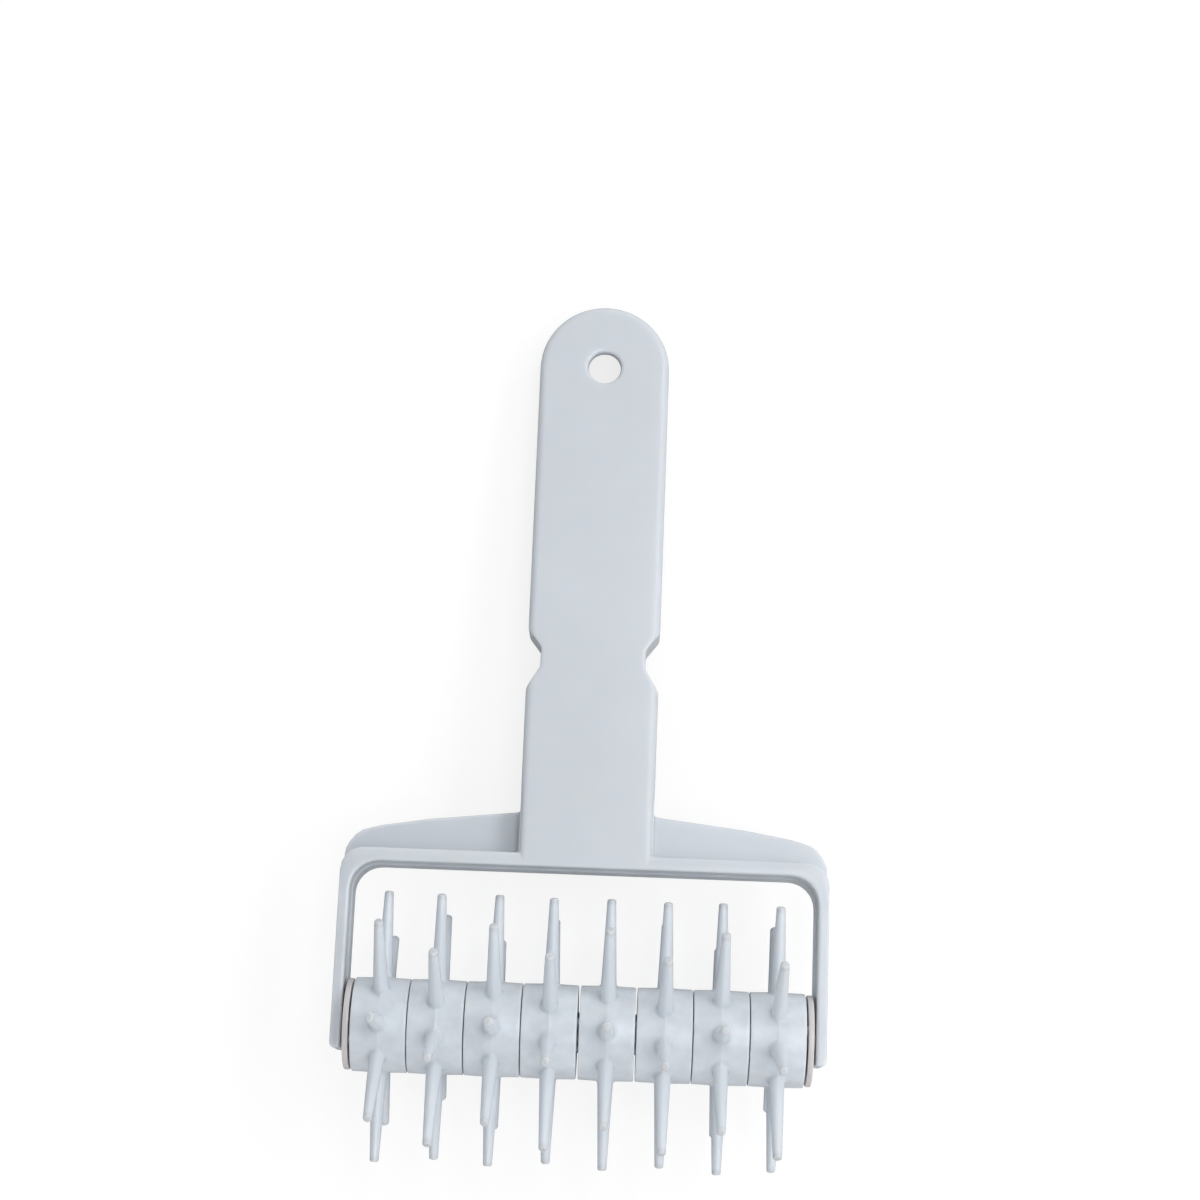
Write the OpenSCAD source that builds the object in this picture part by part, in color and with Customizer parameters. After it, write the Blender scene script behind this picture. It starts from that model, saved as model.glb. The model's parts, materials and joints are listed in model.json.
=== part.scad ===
// Dough docker: spiked wheels on a steel axle, held in a moulded yoke with a flat hanging handle.
// It lies on a worktop as it is laid down: on the lowest pins and on the end of the handle.
// +X runs along the axle, +Y towards the hanging end of the handle, +Z up, and Z = 0 is the worktop.
// The frame and the axle are drawn upright first: x along the axle, y up the handle from the
// axle's centre, z out of the handle's front face. They are tilted into place last.

/* [Handle] */
// Height of the handle's round end above the centre of the axle
handle_top = 160.2; // [130:0.1:200]
// Width of the grip, which is also the diameter of its round end
handle_w = 28.7; // [25:0.1:36]
// Front to back depth of the handle
handle_depth = 11; // [9:0.1:16]
// Thickness of the handle's front plate
front_plate_t = 2.4; // [1.6:0.1:4]
// Thickness of the handle's side walls
side_wall_t = 2.2; // [1.6:0.1:3.5]
// Radius of the soft edge around the handle's front
front_edge_r = 1.6; // [0.4:0.1:2]
// Diameter of the hole to hang the tool by
hang_hole_d = 7.2; // [4:0.1:10]
// Radius of the soft rim around the hanging hole
hang_rim_r = 0.7; // [0.2:0.1:1]

/* [Finger notch] */
// Width of the handle between the two notches
neck_w = 22.8; // [18:0.1:24]
// Height of the neck's lower end above the axle
neck_low = 77.6; // [60:0.1:100]
// Length of the neck between its two ends
neck_length = 4.4; // [3.2:0.1:20]
// Height over which the notch widens again below the neck
notch_run_low = 4.8; // [3.5:0.1:8]
// Height over which the notch widens again above the neck
notch_run_high = 3.8; // [3.2:0.1:8]

/* [Yoke] */
// Depth of the band that forms the arms and the crossbar
band_depth = 11; // [8:0.1:14]
// Thickness of each arm
arm_t = 2.3; // [1.8:0.1:4]
// Thickness of the crossbar between the arms
crossbar_t = 2.85; // [2:0.05:5]
// Height of the crossbar's underside above the axle
crossbar_low = 34.2; // [32.5:0.1:40]
// Distance that the arms reach below the centre of the axle
arm_drop = 5.4; // [4.5:0.1:9]
// Radius of the band's inner corners
inner_corner_r = 6; // [3:0.1:9]
// Radius of the band's outer corners
outer_corner_r = 8.5; // [4:0.1:10]
// Radius of the corners at the ends of the arms
arm_end_r = 1.1; // [0.3:0.1:1.1]

/* [Web] */
// Thickness of the web above the crossbar, which lies halfway through the band's depth
web_t = 2.4; // [1.6:0.1:4]
// Height of the web where it meets the handle, above the crossbar's underside
web_h_handle = 12.1; // [8:0.1:20]
// Height of the web halfway along each side, above the crossbar's underside
web_h_middle = 9.8; // [7:0.1:16]
// Height of the web's corner before it is rounded, above the crossbar's underside
web_h_corner = 6.8; // [5:0.1:9]
// Distance of the halfway point from the centre of the tool
web_middle_x = 34; // [28:0.5:38]
// Radius of the web's outer corners
web_corner_r = 9.2; // [6:0.1:11]

/* [Wheels] */
// Diameter of a wheel's hub at its middle
hub_d = 20.1; // [17:0.1:24]
// Amount by which the hub's radius is smaller at its faces
hub_draft = 0.25; // [0:0.05:0.6]
// Radius of the soft edges of the hub
hub_edge_r = 0.5; // [0.2:0.05:0.8]
// Width of one wheel from face to face
wheel_w = 11.65; // [9:0.05:14]
// Smallest gap between two wheels
wheel_gap = 0.2; // [0.15:0.05:0.4]
// Diameter of the circle through the tips of the pins
pin_circle_d = 56.6; // [50:0.1:60]
// Diameter of a pin at the hub
pin_root_d = 3.3; // [2.4:0.1:4.5]
// Diameter of a pin at its blunt tip
pin_tip_d = 1.9; // [1.4:0.1:2.3]
// Radius of the soft edge around a pin's tip
pin_tip_edge_r = 0.45; // [0.2:0.05:0.6]
// Size of the blend between a pin and the hub
pin_blend = 0.6; // [0.6:0.1:1.4]
// Angle between the pins of one wheel and those of its neighbours
stagger = 15.6; // [8:0.1:22.5]

/* [Wheel faces] */
// Diameter of the pips that lock a wheel to the next one
pip_d = 2; // [1.2:0.1:3]
// Height of a pip above the wheel's face
pip_h = 1.1; // [0.9:0.05:1.2]
// Diameter of the circle that the pips and sockets lie on
pip_circle_d = 14.5; // [11:0.1:15.5]
// Angle of the pips from the line about which alternate wheels are turned over
pip_angle = 21.5; // [14:0.5:40]
// Gap around and below a pip in its socket
socket_gap = 0.2; // [0.1:0.05:0.4]

/* [End discs] */
// Diameter of the discs between the wheels and the arms
disc_d = 19.1; // [17.5:0.1:22]
// Thickness of a disc
disc_t = 1.2; // [1:0.05:2]
// Radius of the soft edges of a disc
disc_edge_r = 0.25; // [0.1:0.05:0.45]
// Gap between a disc and the wheel beside it
disc_gap = 0.4; // [0.2:0.05:0.6]
// Gap between a disc and the arm beside it
arm_gap = 0.65; // [0.3:0.05:1]

/* [Axle] */
// Diameter of the axle
axle_d = 4.1; // [3:0.1:6]
// Radial running clearance of the wheels and discs on the axle
axle_clearance = 0.1; // [0.05:0.05:0.3]
// Depth of the axle's ends below the outer faces of the arms
axle_recess = 0.2; // [0:0.05:0.5]
// Chamfer at the ends of the axle
axle_chamfer = 0.3; // [0.1:0.05:0.5]

/* [Hidden] */
$fn = 64;

wheel_count = 8;
pin_count = 8;
pip_count = 2;
cut_over = 1;
arc_steps = 6;
pin_foot = 7;

// Side play between neighbouring wheels, from left to right, as multiples of the smallest gap
play = [1, 1, 1, 2.2, 1.7, 1, 1];

// Distance along the stack of wheels up to the left face of wheel i
function wheel_start(i) = i == 0 ? 0 : wheel_start(i - 1) + wheel_w + play[i - 1] * wheel_gap;
stack_w = wheel_start(wheel_count - 1) + wheel_w;
arm_in = stack_w / 2 + disc_gap + disc_t + arm_gap;
arm_out = arm_in + arm_t;
disc_x = stack_w / 2 + disc_gap + disc_t / 2;
socket_depth = pip_h - wheel_gap + socket_gap;

// Resting position: the lowest pins and the back edge of the handle's end touch the worktop
pin_tip_r = pin_tip_d / 2;
pin_reach = pin_circle_d / 2;
tip_edge_r = pin_tip_r - pin_tip_edge_r;
tip_shoulder = pin_reach - pin_tip_edge_r;
axle_z = tip_shoulder * cos(stagger / 2) + tip_edge_r * sin(stagger / 2) + pin_tip_edge_r;
handle_back = handle_depth / 2;
tilt = asin(axle_z / norm([handle_top, handle_back])) - atan(handle_back / handle_top);
reach_up = (handle_top - front_edge_r) * cos(tilt) + (handle_depth / 2 - front_edge_r) * sin(tilt)
           + front_edge_r;
axle_y = (axle_z - reach_up) / 2;

function unit(v) = v / norm(v);

// Arc of radius r that replaces the corner c of a path that comes from p and goes on to n
function corner_arc(p, c, n, r) =
    let (back = unit(p - c),
         ahead = unit(n - c),
         half = acos(back * ahead) / 2,
         centre = c + unit(back + ahead) * r / sin(half),
         start = c + back * r / tan(half) - centre,
         end = c + ahead * r / tan(half) - centre,
         start_angle = atan2(start.y, start.x),
         turn = (atan2(end.y, end.x) - start_angle + 540) % 360 - 180)
    [for (i = [0:arc_steps])
        let (angle = start_angle + turn * i / arc_steps)
        centre + r * [cos(angle), sin(angle)]];

// Path through the corners, each given as [x, y, radius]; a radius of 0 keeps the corner sharp
function rounded_path(corners) =
    let (count = len(corners),
         spots = [for (c = corners) [c[0], c[1]]])
    [for (i = [0:count - 1])
        for (spot = corners[i][2] == 0
                    ? [spots[i]]
                    : corner_arc(spots[(i + count - 1) % count], spots[i], spots[(i + 1) % count],
                                 corners[i][2]))
            spot];

// Corners of a shape that is the same left and right, from those of its right half going up
function both_sides(right) =
    concat(right, [for (i = [len(right) - 1:-1:0]) [-right[i][0], right[i][1], right[i][2]]]);

notch_round = 2.4;
shoulder_round = 1.8;
neck_high = neck_low + neck_length;
end_centre = handle_top - handle_w / 2;

// Cross-section of the grip from side to side, with soft corners at its front
module grip_section() {
    soft_x = handle_w / 2 - front_edge_r;
    soft_z = handle_depth / 2 - front_edge_r;
    translate([-soft_x, -handle_depth / 2])
        square([2 * soft_x, handle_depth]);
    translate([-handle_w / 2, -handle_depth / 2])
        square([handle_w, handle_depth - front_edge_r]);
    for (side = [-1, 1])
        translate([side * soft_x, soft_z])
            circle(r = front_edge_r, $fn = 32);
}

// Straight stretch of the grip between two heights
module grip_bar(low, high) {
    translate([0, high, 0])
        rotate([90, 0, 0])
            linear_extrude(high - low)
                grip_section();
}

// Round end of the grip
module grip_end() {
    translate([0, end_centre, 0])
        rotate_extrude(angle = 180, $fn = 96)
            intersection() {
                grip_section();
                translate([0, -handle_depth])
                    square([handle_w, 2 * handle_depth]);
            }
}

// Sides of the handle seen from the front, narrowed by d and without the round end
module handle_sides(d) {
    grip = handle_w / 2 - d;
    neck = neck_w / 2 - d;
    side = [
        [grip, crossbar_low + d, 0],
        [grip, neck_low - notch_run_low, notch_round],
        [neck, neck_low, notch_round],
        [neck, neck_high, shoulder_round],
        [grip, neck_high + notch_run_high, shoulder_round],
        [grip, end_centre, 0],
    ];
    polygon(rounded_path(both_sides(side)));
}

module handle_solid() {
    notch_low = neck_low - notch_run_low - notch_round;
    notch_high = neck_high + notch_run_high + shoulder_round;
    grip_end();
    grip_bar(notch_high, end_centre);
    grip_bar(crossbar_low, notch_low);
    intersection() {
        grip_bar(notch_low, notch_high);
        translate([0, 0, -handle_depth])
            linear_extrude(2 * handle_depth)
                handle_sides(0);
    }
}

module handle_hollow() {
    hollow_depth = handle_depth - front_plate_t;
    hollow_low = crossbar_low + crossbar_t;
    translate([0, 0, -handle_depth / 2 - cut_over])
        linear_extrude(hollow_depth + cut_over) {
            intersection() {
                handle_sides(side_wall_t);
                translate([-handle_w, hollow_low])
                    square([2 * handle_w, end_centre]);
            }
            translate([0, end_centre])
                circle(r = handle_w / 2 - side_wall_t, $fn = 96);
        }
}

module hang_hole() {
    hole_r = hang_hole_d / 2;
    front = handle_depth / 2;
    translate([0, end_centre, 0])
        cylinder(r = hole_r, h = handle_depth, $fn = 64);
    // Rim: a ring with a quarter-round inner edge is taken out of the front plate
    translate([0, end_centre, 0])
        rotate_extrude($fn = 64)
            difference() {
                translate([hole_r - cut_over, front - hang_rim_r])
                    square([cut_over + hang_rim_r, hang_rim_r + cut_over]);
                translate([hole_r + hang_rim_r, front - hang_rim_r])
                    circle(r = hang_rim_r, $fn = 32);
            }
}

// Opening between the arms, seen from the front
module yoke_opening() {
    side = [[arm_in, -arm_drop - cut_over, 0], [arm_in, crossbar_low, inner_corner_r]];
    polygon(rounded_path(both_sides(side)));
}

module band_outline() {
    side = [[arm_out, -arm_drop, arm_end_r], [arm_out, crossbar_low + crossbar_t, outer_corner_r]];
    difference() {
        polygon(rounded_path(both_sides(side)));
        yoke_opening();
    }
}

module web_outline() {
    web_foot = crossbar_low - outer_corner_r - inner_corner_r;
    side = [
        [arm_out, web_foot, 0],
        [arm_out, crossbar_low + web_h_corner, web_corner_r],
        [web_middle_x, crossbar_low + web_h_middle, web_middle_x / 2],
        [handle_w / 2 - side_wall_t / 2, crossbar_low + web_h_handle, 0],
        [handle_w / 2 - side_wall_t / 2, crossbar_low, 0],
    ];
    difference() {
        polygon(rounded_path(both_sides(side)));
        yoke_opening();
    }
}

module frame() {
    color("gainsboro")
        translate([0, axle_y, axle_z])
            rotate([-tilt, 0, 0])
                difference() {
                    union() {
                        difference() {
                            handle_solid();
                            handle_hollow();
                            hang_hole();
                        }
                        translate([0, 0, -band_depth / 2])
                            linear_extrude(band_depth)
                                band_outline();
                        translate([0, 0, -web_t / 2])
                            linear_extrude(web_t)
                                web_outline();
                    }
                    rotate([0, 90, 0])
                        cylinder(d = axle_d, h = 2 * arm_out + 2 * cut_over, center = true, $fn = 64);
                }
}

module axle() {
    half = arm_out - axle_recess;
    r = axle_d / 2;
    color("silver")
        translate([0, axle_y, axle_z])
            rotate([0, 90, 0])
                rotate_extrude($fn = 64)
                    polygon([[0, -half], [r - axle_chamfer, -half], [r, -half + axle_chamfer],
                             [r, half - axle_chamfer], [r - axle_chamfer, half], [0, half]]);
}

// Direction in the wheel's plane, as an angle from straight up towards +Y
module aim(angle) {
    rotate([-angle, 0, 0])
        children();
}

module hub() {
    rim_r = hub_d / 2;
    face_r = rim_r - hub_draft;
    side = [
        [0, -wheel_w / 2, 0],
        [face_r, -wheel_w / 2, hub_edge_r],
        [rim_r, 0, 0],
        [face_r, wheel_w / 2, hub_edge_r],
        [0, wheel_w / 2, 0],
    ];
    rotate([0, 90, 0])
        rotate_extrude($fn = 96)
            polygon(rounded_path(side));
}

// Turned profile of a pin: a blend at the hub, a taper and a blunt tip with a soft edge
module pin() {
    root_r = pin_root_d / 2;
    foot_r = root_r + pin_blend;
    root = sqrt(hub_d * hub_d / 4 - foot_r * foot_r);
    taper = (root_r - pin_tip_r) / (tip_shoulder - root);
    tip_start = atan(taper);
    blend = [for (i = [0:arc_steps / 2])
                let (angle = 90 * i / (arc_steps / 2))
                [root_r + pin_blend * (1 - sin(angle)), root + pin_blend * (1 - cos(angle))]];
    tip = [for (i = [0:arc_steps])
              let (angle = tip_start + (90 - tip_start) * i / arc_steps)
              [tip_edge_r + pin_tip_edge_r * cos(angle), tip_shoulder + pin_tip_edge_r * sin(angle)]];
    rotate_extrude($fn = 32)
        polygon(concat([[0, pin_foot], [foot_r, pin_foot]], blend, tip, [[0, pin_reach]]));
}

// Places its children on the face towards +X or, mirrored, on the face towards -X
module face_spots(angle) {
    for (face = [-1, 1])
        for (k = [0:pip_count - 1])
            aim(angle + k * 360 / pip_count)
                translate([face * wheel_w / 2, 0, pip_circle_d / 2])
                    rotate([0, 90 * face, 0])
                        children();
}

module wheel_shape() {
    difference() {
        union() {
            hub();
            for (k = [0:pin_count - 1])
                aim(stagger / 2 + k * 360 / pin_count)
                    pin();
            face_spots(-pip_angle)
                translate([0, 0, -cut_over])
                    cylinder(d = pip_d, h = pip_h + cut_over, $fn = 32);
        }
        face_spots(pip_angle)
            translate([0, 0, -socket_depth])
                cylinder(d = pip_d + 2 * socket_gap, h = socket_depth + cut_over, $fn = 32);
        rotate([0, 90, 0])
            cylinder(d = axle_d + 2 * axle_clearance, h = wheel_w + 2 * cut_over, center = true,
                     $fn = 64);
    }
}

// Every other wheel is the same wheel turned over, so that its pins fall between its neighbours'
module wheel(i) {
    centre_x = wheel_start(i - 1) + wheel_w / 2 - stack_w / 2;
    color("whitesmoke")
        translate([centre_x, axle_y, axle_z])
            rotate([0, 0, i % 2 == 0 ? 180 : 0])
                wheel_shape();
}

module disc_shape() {
    r = disc_d / 2;
    side = [
        [0, -disc_t / 2, 0],
        [r, -disc_t / 2, disc_edge_r],
        [r, disc_t / 2, disc_edge_r],
        [0, disc_t / 2, 0],
    ];
    difference() {
        rotate([0, 90, 0])
            rotate_extrude($fn = 96)
                polygon(rounded_path(side));
        rotate([0, 90, 0])
            cylinder(d = axle_d + 2 * axle_clearance, h = disc_t + 2 * cut_over, center = true,
                     $fn = 64);
        for (k = [0:pip_count - 1])
            aim(-pip_angle + k * 360 / pip_count)
                translate([0, 0, pip_circle_d / 2])
                    rotate([0, 90, 0])
                        cylinder(d = pip_d + 2 * socket_gap, h = disc_t + 2 * cut_over,
                                 center = true, $fn = 32);
    }
}

module end_disc(side) {
    color("mistyrose")
        translate([side * disc_x, axle_y, axle_z])
            rotate([0, 0, side > 0 ? 180 : 0])
                disc_shape();
}

frame();
axle();
end_disc(-1);  // end_disc_left
wheel(1);  // wheel_1
wheel(2);  // wheel_2
wheel(3);  // wheel_3
wheel(4);  // wheel_4
wheel(5);  // wheel_5
wheel(6);  // wheel_6
wheel(7);  // wheel_7
wheel(8);  // wheel_8
end_disc(1);  // end_disc_right
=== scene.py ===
import json
import math

import bmesh
import bpy
import numpy as np
from mathutils import Euler, Matrix, Vector


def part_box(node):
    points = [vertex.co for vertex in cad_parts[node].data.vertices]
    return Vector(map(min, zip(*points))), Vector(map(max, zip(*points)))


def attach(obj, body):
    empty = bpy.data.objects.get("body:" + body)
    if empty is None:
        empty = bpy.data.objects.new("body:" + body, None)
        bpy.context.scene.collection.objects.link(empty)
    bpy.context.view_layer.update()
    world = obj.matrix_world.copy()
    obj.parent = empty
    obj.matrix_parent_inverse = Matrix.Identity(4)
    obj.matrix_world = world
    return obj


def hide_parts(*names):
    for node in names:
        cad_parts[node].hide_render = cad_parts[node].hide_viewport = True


bl_info = {
    "name": "Dough docker",
    "version": (1, 0, 0),
    "blender": (4, 5, 0),
    "location": "View3D > Sidebar > Dough docker",
    "description": "Dresses a dough docker: moulded handle and yoke, spiked wheels, end discs, axle",
    "category": "Object",
}

MM = 0.001
# Smallest length that counts
TINY = 1e-6

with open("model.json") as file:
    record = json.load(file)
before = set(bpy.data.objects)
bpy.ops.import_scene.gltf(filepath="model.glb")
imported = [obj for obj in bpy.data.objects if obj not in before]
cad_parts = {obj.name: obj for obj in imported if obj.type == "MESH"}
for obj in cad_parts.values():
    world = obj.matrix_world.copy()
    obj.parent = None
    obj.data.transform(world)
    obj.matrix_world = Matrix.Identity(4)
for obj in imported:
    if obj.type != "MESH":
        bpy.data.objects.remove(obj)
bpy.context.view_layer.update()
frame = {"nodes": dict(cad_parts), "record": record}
RECORD = frame["record"]
AXLE_CENTRE = Vector(RECORD["behaviour"]["joints"][0]["pos_m"])
HOLE_AXIS = Vector(RECORD["mounts"][0]["axis"])
HOLE_PLACE = Vector(RECORD["mounts"][0]["pos_m"])
HOLE_RADIUS = RECORD["mounts"][0]["dims"]["r_mm"]
TILT = math.atan2(HOLE_AXIS.y, HOLE_AXIS.z)
WHEELS = [f"wheel_{number}" for number in range(1, 9)]
DISCS = ["end_disc_left", "end_disc_right"]
# The upright tool has x along the axle, y up the handle from the axle's centre, and z out of
# its front. The lying tool rests on its pins and on the handle's end, as the CAD has it.
UPRIGHT_TO_LYING = Matrix.Translation(AXLE_CENTRE) @ Matrix.Rotation(-TILT, 4, "X")


# Settings


class MouldingSettings(bpy.types.PropertyGroup):
    """Softness of the handle and yoke moulding, and the forms of its band, web and hole."""

    cell: bpy.props.FloatProperty(
        name="Cell", description="Size of the cells that the moulding is rebuilt from",
        default=0.26 * MM, min=0.15 * MM, max=2 * MM, precision=5, unit="LENGTH")
    soften: bpy.props.IntProperty(
        name="Soften", description="Passes that round the moulding's edges and fillets",
        default=12, min=0, max=60)
    fall: bpy.props.FloatProperty(
        name="Band fall", description="Amount by which the band's front falls to its outer edge",
        default=0.85 * MM, min=0, max=2 * MM, precision=5, unit="LENGTH")
    arm_fall: bpy.props.FloatProperty(
        name="Arm fall", description="Amount by which the arms' fronts fall to their outer edges",
        default=0.05 * MM, min=0, max=2 * MM, precision=5, unit="LENGTH")
    fall_width: bpy.props.FloatProperty(
        name="Fall width", description="Width of the band's front that falls to its outer edge",
        default=2.6 * MM, precision=5, unit="LENGTH")
    draft: bpy.props.FloatProperty(
        name="Draft", description="Growth of the band's inner faces towards the mould's parting",
        default=0.12 * MM, precision=5, unit="LENGTH")
    ledge: bpy.props.FloatProperty(
        name="Ledge", description="Step between the two halves of the band's inner faces",
        default=0.32 * MM, precision=5, unit="LENGTH")
    web_back: bpy.props.FloatProperty(
        name="Web back", description="Amount by which the web lies behind the band's middle",
        default=3.1 * MM, min=0, max=3.6 * MM, precision=5, unit="LENGTH")
    hole_edge: bpy.props.FloatProperty(
        name="Hole edge", description="Radius of the front rim of the hanging hole",
        default=0.8 * MM, min=0.1 * MM, max=1.6 * MM, precision=5, unit="LENGTH")
    triangles: bpy.props.IntProperty(
        name="Triangles", description="Most triangles that the moulding keeps",
        default=185000, min=20000, max=199000)


class WheelSettings(bpy.types.PropertyGroup):
    """Sizes of the spiked wheels."""

    pins: bpy.props.IntProperty(
        name="Pins", description="Number of pins around a wheel", default=8, min=4, max=16)
    rim_radius: bpy.props.FloatProperty(
        name="Rim radius", description="Radius of the hub at its middle",
        default=10.05 * MM, precision=5, unit="LENGTH")
    draft: bpy.props.FloatProperty(
        name="Draft", description="Amount by which the hub's radius is smaller at its faces",
        default=0.25 * MM, precision=5, unit="LENGTH")
    flare: bpy.props.FloatProperty(
        name="Flare", description="Below 1, the hub rises faster towards the mould's parting",
        default=0.5, min=0.4, max=1.0)
    edge: bpy.props.FloatProperty(
        name="Edge", description="Radius of the hub's soft edges",
        default=0.28 * MM, precision=5, unit="LENGTH")
    bore_radius: bpy.props.FloatProperty(
        name="Bore radius", description="Radius of the hole for the axle",
        default=2.15 * MM, precision=5, unit="LENGTH")
    root_radius: bpy.props.FloatProperty(
        name="Pin root radius", description="Radius of a pin at the hub",
        default=1.65 * MM, precision=5, unit="LENGTH")
    tip_radius: bpy.props.FloatProperty(
        name="Pin tip radius", description="Radius of a pin at its tip",
        default=0.95 * MM, precision=5, unit="LENGTH")
    tip_edge: bpy.props.FloatProperty(
        name="Tip edge", description="Radius of the edge around a pin's blunt tip",
        default=0.45 * MM, precision=5, unit="LENGTH")
    blend: bpy.props.FloatProperty(
        name="Blend", description="Size of the blend between a pin and the hub",
        default=0.6 * MM, precision=5, unit="LENGTH")
    reach: bpy.props.FloatProperty(
        name="Reach", description="Distance from the axle to the pins' tips",
        default=28.3 * MM, precision=5, unit="LENGTH")
    crease: bpy.props.FloatProperty(
        name="Crease", description="Share by which a pin bulges where the mould's halves meet",
        default=0.07, min=0, max=0.2)


class FinishSettings(bpy.types.PropertyGroup):
    """Colours and gloss of the plastic and the steel."""

    body_colour: bpy.props.FloatVectorProperty(
        name="Handle and yoke", description="Colour of the handle and yoke plastic",
        subtype="COLOR", size=3, min=0, max=1, default=(0.610, 0.648, 0.689))
    wheel_colour: bpy.props.FloatVectorProperty(
        name="Wheels", description="Colour of the wheels' plastic",
        subtype="COLOR", size=3, min=0, max=1, default=(0.655, 0.697, 0.744))
    disc_colour: bpy.props.FloatVectorProperty(
        name="End discs", description="Colour of the end discs' plastic",
        subtype="COLOR", size=3, min=0, max=1, default=(0.585, 0.568, 0.572))
    steel_colour: bpy.props.FloatVectorProperty(
        name="Axle", description="Colour of the steel rod",
        subtype="COLOR", size=3, min=0, max=1, default=(0.55, 0.55, 0.56))
    roughness: bpy.props.FloatProperty(
        name="Roughness", description="Roughness of the moulded surfaces",
        default=0.25, min=0, max=1, subtype="FACTOR")
    mottle: bpy.props.FloatProperty(
        name="Mottle", description="Share by which the hubs' colour varies in small soft spots",
        default=0.08, min=0, max=0.3, subtype="FACTOR")


class StageSettings(bpy.types.PropertyGroup):
    """Floor, lamps and camera."""

    floor_size: bpy.props.FloatProperty(
        name="Floor", description="Side of the square floor", default=6.0, unit="LENGTH")
    key_power: bpy.props.FloatProperty(
        name="Key lamp", description="Power of the soft lamp above and beside the camera",
        default=2.8, unit="POWER")
    side_power: bpy.props.FloatProperty(
        name="Side lamp", description="Power of the long soft lamp at the right",
        default=8.7, unit="POWER")
    fill_power: bpy.props.FloatProperty(
        name="Fill lamp", description="Power of the soft lamp at the left, beyond the pins",
        default=0.9, unit="POWER")
    room_ends: bpy.props.FloatProperty(
        name="Room ends", description="Brightness that the room gains towards the tool's two ends",
        default=1.2, min=0, max=2)
    room_right: bpy.props.FloatProperty(
        name="Room right", description="Brightness that the room gains towards the right",
        default=0.36, min=0, max=2)

# Meshes


def link_object(name, mesh):
    """Puts a mesh into the scene as a new object."""
    made = bpy.data.objects.new(name, mesh)
    bpy.context.scene.collection.objects.link(made)
    return made


def obj_from_bmesh(name, bm, scale=1.0):
    """Turns a bmesh into a smooth-shaded object in the scene, and frees the bmesh."""
    if scale != 1.0:
        bmesh.ops.scale(bm, vec=(scale,) * 3, verts=bm.verts)
    mesh = bpy.data.meshes.new(name)
    for face in bm.faces:
        face.smooth = True
    bm.to_mesh(mesh)
    bm.free()
    return link_object(name, mesh)


def settle(obj, name):
    """Applies an object's modifiers and gives its result as a plain mesh object."""
    graph = bpy.context.evaluated_depsgraph_get()
    mesh = bpy.data.meshes.new_from_object(obj.evaluated_get(graph), depsgraph=graph)
    made = link_object(name, mesh)
    old = obj.data
    bpy.data.objects.remove(obj)
    if old.users == 0:
        bpy.data.meshes.remove(old)
    return made


def cut_or_join(obj, operation, tool):
    """Has a tool object cut from an object, or joined to it, when it is settled."""
    boolean = obj.modifiers.new(operation.lower(), "BOOLEAN")
    boolean.operation = operation
    boolean.object = tool
    boolean.solver = "EXACT"


def cad_copy(node):
    """A copy of a CAD node's mesh with its loose triangles joined."""
    bm = bmesh.new()
    bm.from_mesh(frame["nodes"][node].data)
    bmesh.ops.remove_doubles(bm, verts=bm.verts, dist=TINY)
    return bm


def move_to_node(mesh, node, turned_over):
    """Takes a mesh from millimetres round the axle to a node's place in metres."""
    low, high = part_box(node)
    centre = Matrix.Translation(((low.x + high.x) / 2, AXLE_CENTRE.y, AXLE_CENTRE.z))
    over = Matrix.Rotation(math.pi if turned_over else 0.0, 4, "Z")
    mesh.transform(centre @ over @ Matrix.Scale(MM, 4))
    mesh.update()


def finish_piece(obj, name, material, slot, body, *replaced):
    """Names a piece and its mesh, gives it its material, and ties it to its body."""
    obj.name = name
    obj.data.name = name
    obj.data.materials.clear()
    obj.data.materials.append(material)
    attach(obj, body)
    if replaced:
        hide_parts(*replaced)
    return obj


# Materials


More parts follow.
